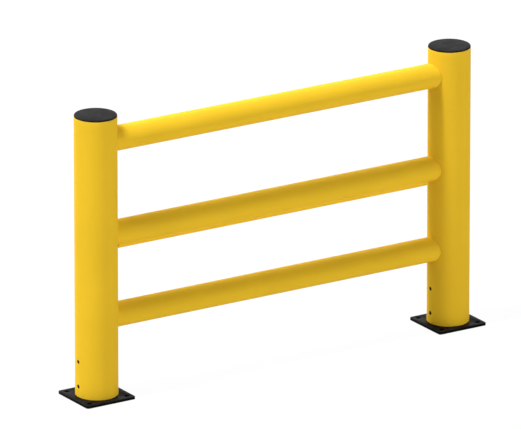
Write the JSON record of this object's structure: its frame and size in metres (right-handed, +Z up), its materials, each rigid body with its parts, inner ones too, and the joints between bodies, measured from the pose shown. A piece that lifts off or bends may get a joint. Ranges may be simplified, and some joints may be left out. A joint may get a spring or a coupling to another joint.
{
  "type": "flexible crash barrier bay",
  "caption": "Free-standing floor barrier with round hollow posts on square base plates and horizontal round tube rails between them.",
  "frame": {"origin": "on the floor, midway between the two posts", "axes": "+X along the rails, -Y towards the front, +Z up"},
  "size_m": [1.756, 0.21, 1.096],
  "materials": {
    "post_plastic": "satin yellow moulded",
    "rail_plastic": "satin yellow extruded",
    "cap_plastic": "black moulded",
    "plate_coating": "black powder coat",
    "fixing_steel": "dark coated steel"
  },
  "bodies": {
    "root": {"post_left": "post_plastic", "post_right": "post_plastic", "post_cap_left": "cap_plastic", "post_cap_right": "cap_plastic", "base_plate_left": "plate_coating", "base_plate_right": "plate_coating", "base_stub_left": "fixing_steel", "base_stub_right": "fixing_steel", "lower_lock_pin_left": "fixing_steel", "lower_lock_pin_right": "fixing_steel", "upper_lock_pin_left": "fixing_steel", "upper_lock_pin_right": "fixing_steel", "top_rail": "rail_plastic", "middle_rail": "rail_plastic", "lower_rail": "rail_plastic"}
  },
  "joints": []
}
